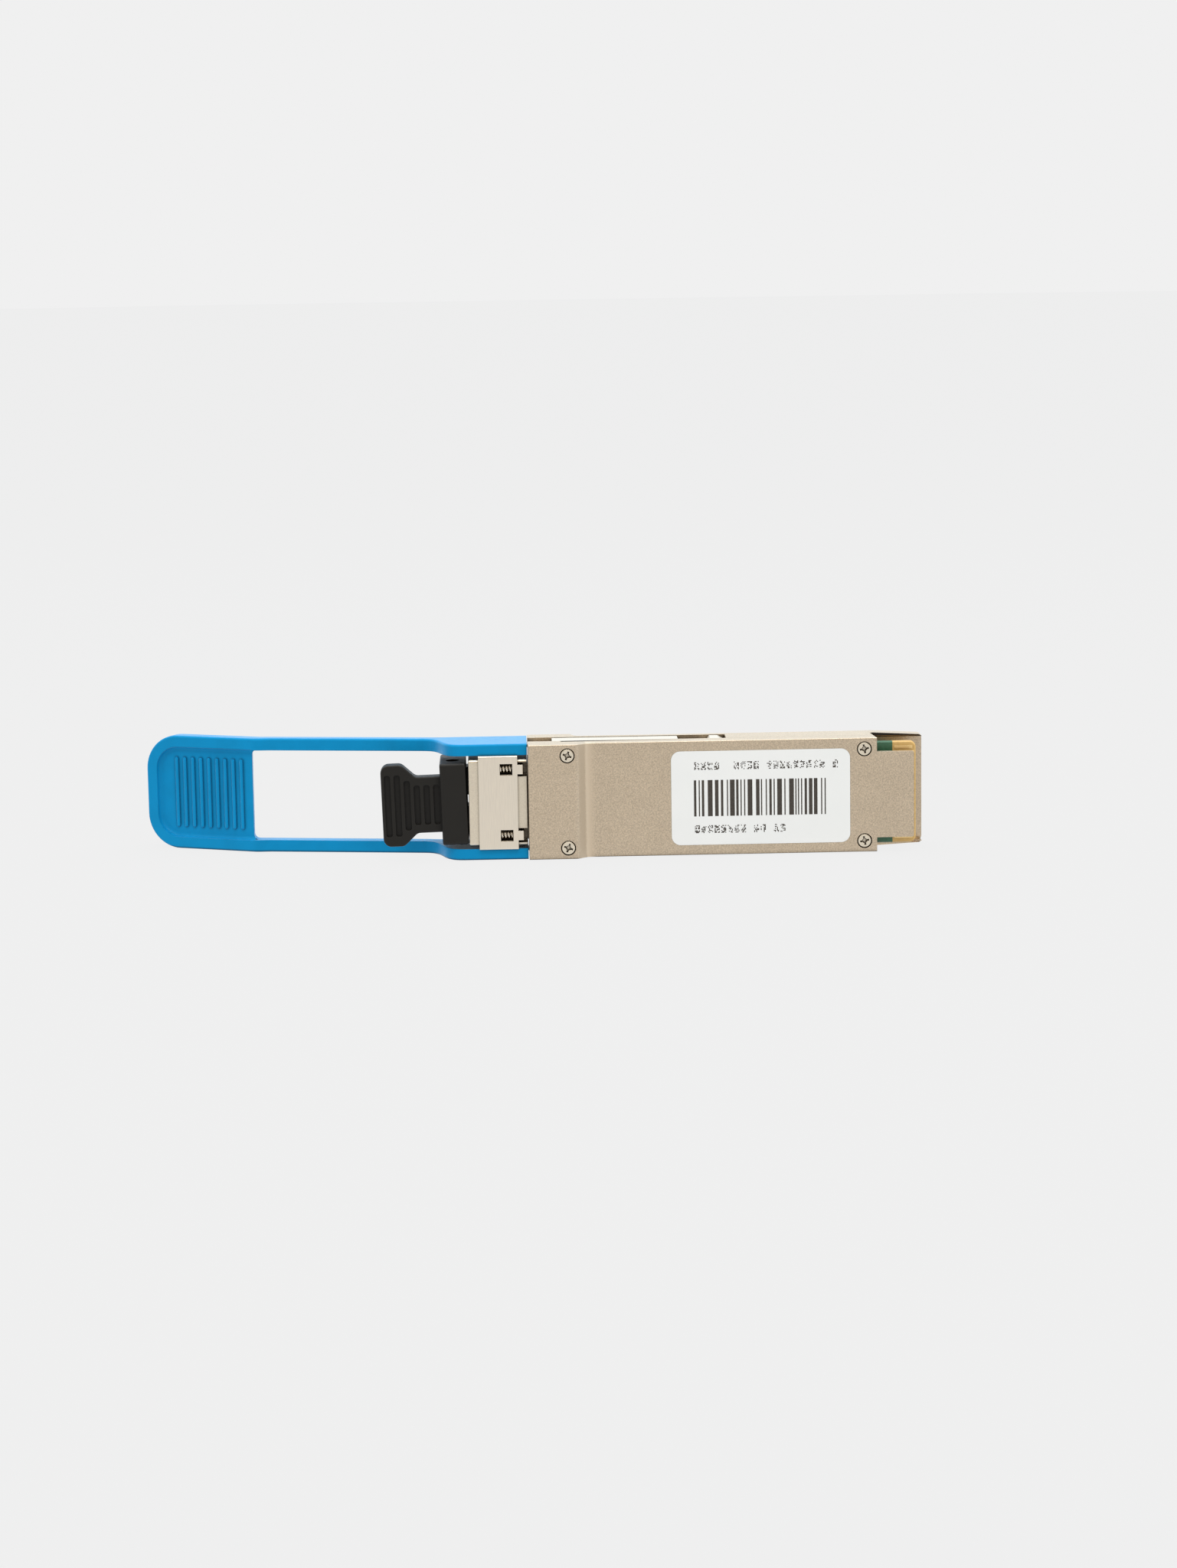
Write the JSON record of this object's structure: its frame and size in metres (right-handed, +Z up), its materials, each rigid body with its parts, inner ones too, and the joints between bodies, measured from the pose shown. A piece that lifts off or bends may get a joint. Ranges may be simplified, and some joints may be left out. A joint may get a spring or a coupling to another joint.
{
  "type": "optical transceiver module",
  "caption": "Pluggable fibre-optic transceiver: nickel-plated housing, card edge at one end, duplex fibre ports with a dust plug at the other, and a sprung release slide with a long pull tab.",
  "frame": {"origin": "centre of the overall box, at the height of the surface that the module stands on, on its lower narrow side", "axes": "+X along the module towards the card edge, so the pull tab is at -X; +Y out of the heat-sink face, so the label faces -Y; +Z up, across the module's width"},
  "size_m": [0.1256, 0.0224, 0.0186],
  "materials": {
    "cast_nickel": "nickel-plated zinc casting, fine matte blast",
    "nose_nickel": "nickel-plated zinc casting, smooth",
    "stamped_steel": "stamped stainless sheet, satin",
    "spring_steel": "drawn spring wire",
    "screw_steel": "nickel-plated, turned",
    "label_film": "white printed film, satin",
    "board_green": "solder mask over glass laminate",
    "contact_gold": "hard gold plate",
    "chip_black": "moulded package",
    "inductor_grey": "pressed powder core",
    "capacitor_ceramic": "fired ceramic with tinned ends",
    "thermal_pad": "soft filled silicone",
    "package_gold": "gold-plated package",
    "flex_amber": "polyimide film",
    "barrel_steel": "turned stainless",
    "zirconia": "ground zirconia",
    "clamp_plastic": "moulded",
    "tab_blue": "moulded elastomer, fine matte",
    "plug_black": "moulded rubber"
  },
  "bodies": {
    "module": {"base_shell": "cast_nickel", "cover_shell": "cast_nickel", "cover_screws": "screw_steel", "label": "label_film", "circuit_board": "board_green", "label_side_contacts": "contact_gold", "sink_side_contacts": "contact_gold", "retimer_chip": "chip_black", "retimer_pad": "thermal_pad", "microcontroller": "chip_black", "laser_driver": "chip_black", "power_inductors": "inductor_grey", "capacitors": "capacitor_ceramic", "transmitter_box": "package_gold", "receiver_box": "package_gold", "optics_pads": "thermal_pad", "transmitter_flex": "flex_amber", "receiver_flex": "flex_amber", "transmitter_barrel": "barrel_steel", "receiver_barrel": "barrel_steel", "fibre_stubs": "zirconia", "guide_sleeves": "zirconia", "barrel_clamp": "clamp_plastic", "lc_receptacle": "nose_nickel", "return_springs": "spring_steel"},
    "release_slide": {"slide_frame": "stamped_steel", "pull_tab": "tab_blue"},
    "dust_plug": {"dust_plug": "plug_black"}
  },
  "joints": [
    {"name": "release_pull", "type": "slide", "parent": "module", "child": "release_slide", "axis": [-1, 0, 0], "range_m": [0, 0.0016], "stiffness_N_per_m": 300, "springref_m": -0.002, "deforming": ["return_springs"]},
    {"name": "dust_plug_pull", "type": "slide", "parent": "module", "child": "dust_plug", "axis": [-1, 0, 0], "range_m": [0, 0.025]}
  ]
}
